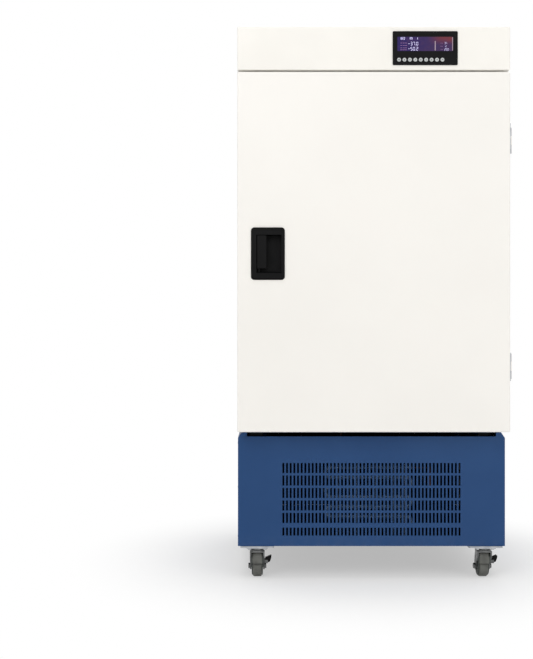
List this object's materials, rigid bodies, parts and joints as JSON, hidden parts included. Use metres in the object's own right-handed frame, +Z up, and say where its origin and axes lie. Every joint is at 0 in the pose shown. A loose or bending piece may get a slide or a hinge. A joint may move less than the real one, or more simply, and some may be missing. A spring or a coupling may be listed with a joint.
{
  "type": "refrigerated incubator",
  "caption": "White refrigerated laboratory incubator with a flush black handle, a digital controller and a vented blue base on casters.",
  "frame": {"origin": "on the floor under the middle of the width and depth", "axes": "+Z up, -Y towards the user in front of the door, +X to the user's right"},
  "size_m": [0.6523, 0.656, 1.29],
  "materials": {
    "white_steel": "satin",
    "white_plastic": "satin",
    "blue_plastic": "satin",
    "blue_steel": "satin",
    "black_plastic": "satin",
    "dark_parts": "matte",
    "stainless": "brushed",
    "zinc_steel": "satin",
    "foam": "matte",
    "display": "glossy",
    "key_plastic": "satin",
    "clear_glass": "polished",
    "seal_rubber": "matte",
    "wheel_rubber": "matte",
    "copper": "satin",
    "fin_aluminium": "satin",
    "black_paint": "satin",
    "caster_steel": "satin"
  },
  "bodies": {
    "cabinet": {"outer_casing": "white_steel", "back_panel": "white_steel", "control_fascia": "white_plastic", "control_deck": "zinc_steel", "control_electronics": "dark_parts", "controller_bezel": "black_plastic", "display_module": "display", "mains_inlet": "black_plastic", "front_frame": "white_plastic", "foam_body": "foam", "chamber_liner": "stainless", "duct_panel": "stainless", "circulation_motor": "zinc_steel", "evaporator": "fin_aluminium", "heater_ring": "stainless", "shelf_rails": "stainless", "wire_shelves": "stainless", "chamber_lamp": "white_plastic", "port_sleeve": "white_plastic", "glass_seal": "seal_rubber", "cabinet_hinges": "zinc_steel", "base_front": "blue_plastic", "base_panels": "blue_steel", "base_frame": "black_paint", "compressor": "black_paint", "condenser": "fin_aluminium", "condenser_fan_housing": "black_plastic", "refrigerant_lines": "copper", "caster_plates": "caster_steel"},
    "door": {"door_skin": "white_steel", "door_foam": "foam", "door_liner": "white_plastic", "door_gasket": "seal_rubber", "door_hinges": "zinc_steel", "handle_bezel": "black_plastic"},
    "paddle": {"handle_paddle": "black_plastic"},
    "glass_door": {"glass_pane": "clear_glass", "glass_fittings": "zinc_steel"},
    "circulation_wheel": {"circulation_fan": "fin_aluminium"},
    "condenser_wheel": {"condenser_fan": "black_plastic"},
    "plug": {"port_plug": "seal_rubber"},
    "key_cap_1": {"key_1": "key_plastic"},
    "key_cap_2": {"key_2": "key_plastic"},
    "key_cap_3": {"key_3": "key_plastic"},
    "key_cap_4": {"key_4": "key_plastic"},
    "key_cap_5": {"key_5": "key_plastic"},
    "key_cap_6": {"key_6": "key_plastic"},
    "key_cap_7": {"key_7": "key_plastic"},
    "key_cap_8": {"key_8": "key_plastic"},
    "key_cap_9": {"key_9": "key_plastic"},
    "fork_fl": {"caster_fork_fl": "caster_steel"},
    "wheel_fl": {"caster_wheel_fl": "wheel_rubber"},
    "pedal_fl": {"brake_pedal_fl": "black_plastic"},
    "fork_fr": {"caster_fork_fr": "caster_steel"},
    "wheel_fr": {"caster_wheel_fr": "wheel_rubber"},
    "pedal_fr": {"brake_pedal_fr": "black_plastic"},
    "fork_rl": {"caster_fork_rl": "caster_steel"},
    "wheel_rl": {"caster_wheel_rl": "wheel_rubber"},
    "fork_rr": {"caster_fork_rr": "caster_steel"},
    "wheel_rr": {"caster_wheel_rr": "wheel_rubber"}
  },
  "joints": [
    {"name": "door_hinge", "type": "hinge", "parent": "cabinet", "child": "door", "pos_m": [0.323, -0.273, 0.77], "axis": [0, 0, 1], "range_deg": [0, 120]},
    {"name": "glass_door_hinge", "type": "hinge", "parent": "cabinet", "child": "glass_door", "pos_m": [0.269, -0.264, 0.77], "axis": [0, 0, 1], "range_deg": [0, 90]},
    {"name": "paddle_hinge", "type": "hinge", "parent": "door", "child": "paddle", "pos_m": [-0.265, -0.322, 0.77], "axis": [0, 0, -1], "range_deg": [0, 25], "stiffness_Nm_per_rad": 0.25, "springref_deg": -5.73},
    {"name": "circulation_fan_spin", "type": "hinge", "parent": "cabinet", "child": "circulation_wheel", "pos_m": [0, 0.24, 0.96], "axis": [0, 1, 0], "continuous": true},
    {"name": "condenser_fan_spin", "type": "hinge", "parent": "cabinet", "child": "condenser_wheel", "pos_m": [0, -0.145, 0.176], "axis": [0, 1, 0], "continuous": true},
    {"name": "port_plug_slide", "type": "slide", "parent": "cabinet", "child": "plug", "axis": [-1, 0, 0], "range_m": [0, 0.06]},
    {"name": "key_press_1", "type": "slide", "parent": "cabinet", "child": "key_cap_1", "axis": [0, 1, 0], "range_m": [0, 0.001], "stiffness_N_per_m": 800, "springref_m": -0.0005},
    {"name": "key_press_2", "type": "slide", "parent": "cabinet", "child": "key_cap_2", "axis": [0, 1, 0], "range_m": [0, 0.001], "stiffness_N_per_m": 800, "springref_m": -0.0005},
    {"name": "key_press_3", "type": "slide", "parent": "cabinet", "child": "key_cap_3", "axis": [0, 1, 0], "range_m": [0, 0.001], "stiffness_N_per_m": 800, "springref_m": -0.0005},
    {"name": "key_press_4", "type": "slide", "parent": "cabinet", "child": "key_cap_4", "axis": [0, 1, 0], "range_m": [0, 0.001], "stiffness_N_per_m": 800, "springref_m": -0.0005},
    {"name": "key_press_5", "type": "slide", "parent": "cabinet", "child": "key_cap_5", "axis": [0, 1, 0], "range_m": [0, 0.001], "stiffness_N_per_m": 800, "springref_m": -0.0005},
    {"name": "key_press_6", "type": "slide", "parent": "cabinet", "child": "key_cap_6", "axis": [0, 1, 0], "range_m": [0, 0.001], "stiffness_N_per_m": 800, "springref_m": -0.0005},
    {"name": "key_press_7", "type": "slide", "parent": "cabinet", "child": "key_cap_7", "axis": [0, 1, 0], "range_m": [0, 0.001], "stiffness_N_per_m": 800, "springref_m": -0.0005},
    {"name": "key_press_8", "type": "slide", "parent": "cabinet", "child": "key_cap_8", "axis": [0, 1, 0], "range_m": [0, 0.001], "stiffness_N_per_m": 800, "springref_m": -0.0005},
    {"name": "key_press_9", "type": "slide", "parent": "cabinet", "child": "key_cap_9", "axis": [0, 1, 0], "range_m": [0, 0.001], "stiffness_N_per_m": 800, "springref_m": -0.0005},
    {"name": "caster_swivel_fl", "type": "hinge", "parent": "cabinet", "child": "fork_fl", "pos_m": [-0.2695, -0.244, 0.07], "axis": [0, 0, 1], "continuous": true},
    {"name": "wheel_roll_fl", "type": "hinge", "parent": "fork_fl", "child": "wheel_fl", "pos_m": [-0.2695, -0.226, 0.025], "axis": [1, 0, 0], "continuous": true},
    {"name": "brake_fl", "type": "hinge", "parent": "fork_fl", "child": "pedal_fl", "pos_m": [-0.2475, -0.233, 0.038], "axis": [0, 1, 0], "range_deg": [0, 15]},
    {"name": "caster_swivel_fr", "type": "hinge", "parent": "cabinet", "child": "fork_fr", "pos_m": [0.2695, -0.244, 0.07], "axis": [0, 0, 1], "continuous": true},
    {"name": "wheel_roll_fr", "type": "hinge", "parent": "fork_fr", "child": "wheel_fr", "pos_m": [0.2695, -0.226, 0.025], "axis": [1, 0, 0], "continuous": true},
    {"name": "brake_fr", "type": "hinge", "parent": "fork_fr", "child": "pedal_fr", "pos_m": [0.2915, -0.233, 0.038], "axis": [0, 1, 0], "range_deg": [0, 15]},
    {"name": "caster_swivel_rl", "type": "hinge", "parent": "cabinet", "child": "fork_rl", "pos_m": [-0.2695, 0.274, 0.07], "axis": [0, 0, 1], "continuous": true},
    {"name": "wheel_roll_rl", "type": "hinge", "parent": "fork_rl", "child": "wheel_rl", "pos_m": [-0.2695, 0.292, 0.025], "axis": [1, 0, 0], "continuous": true},
    {"name": "caster_swivel_rr", "type": "hinge", "parent": "cabinet", "child": "fork_rr", "pos_m": [0.2695, 0.274, 0.07], "axis": [0, 0, 1], "continuous": true},
    {"name": "wheel_roll_rr", "type": "hinge", "parent": "fork_rr", "child": "wheel_rr", "pos_m": [0.2695, 0.292, 0.025], "axis": [1, 0, 0], "continuous": true}
  ],
  "couplings": [
    {"joint": "glass_door_hinge", "follows": "door_hinge", "ratio": 0.75}
  ]
}
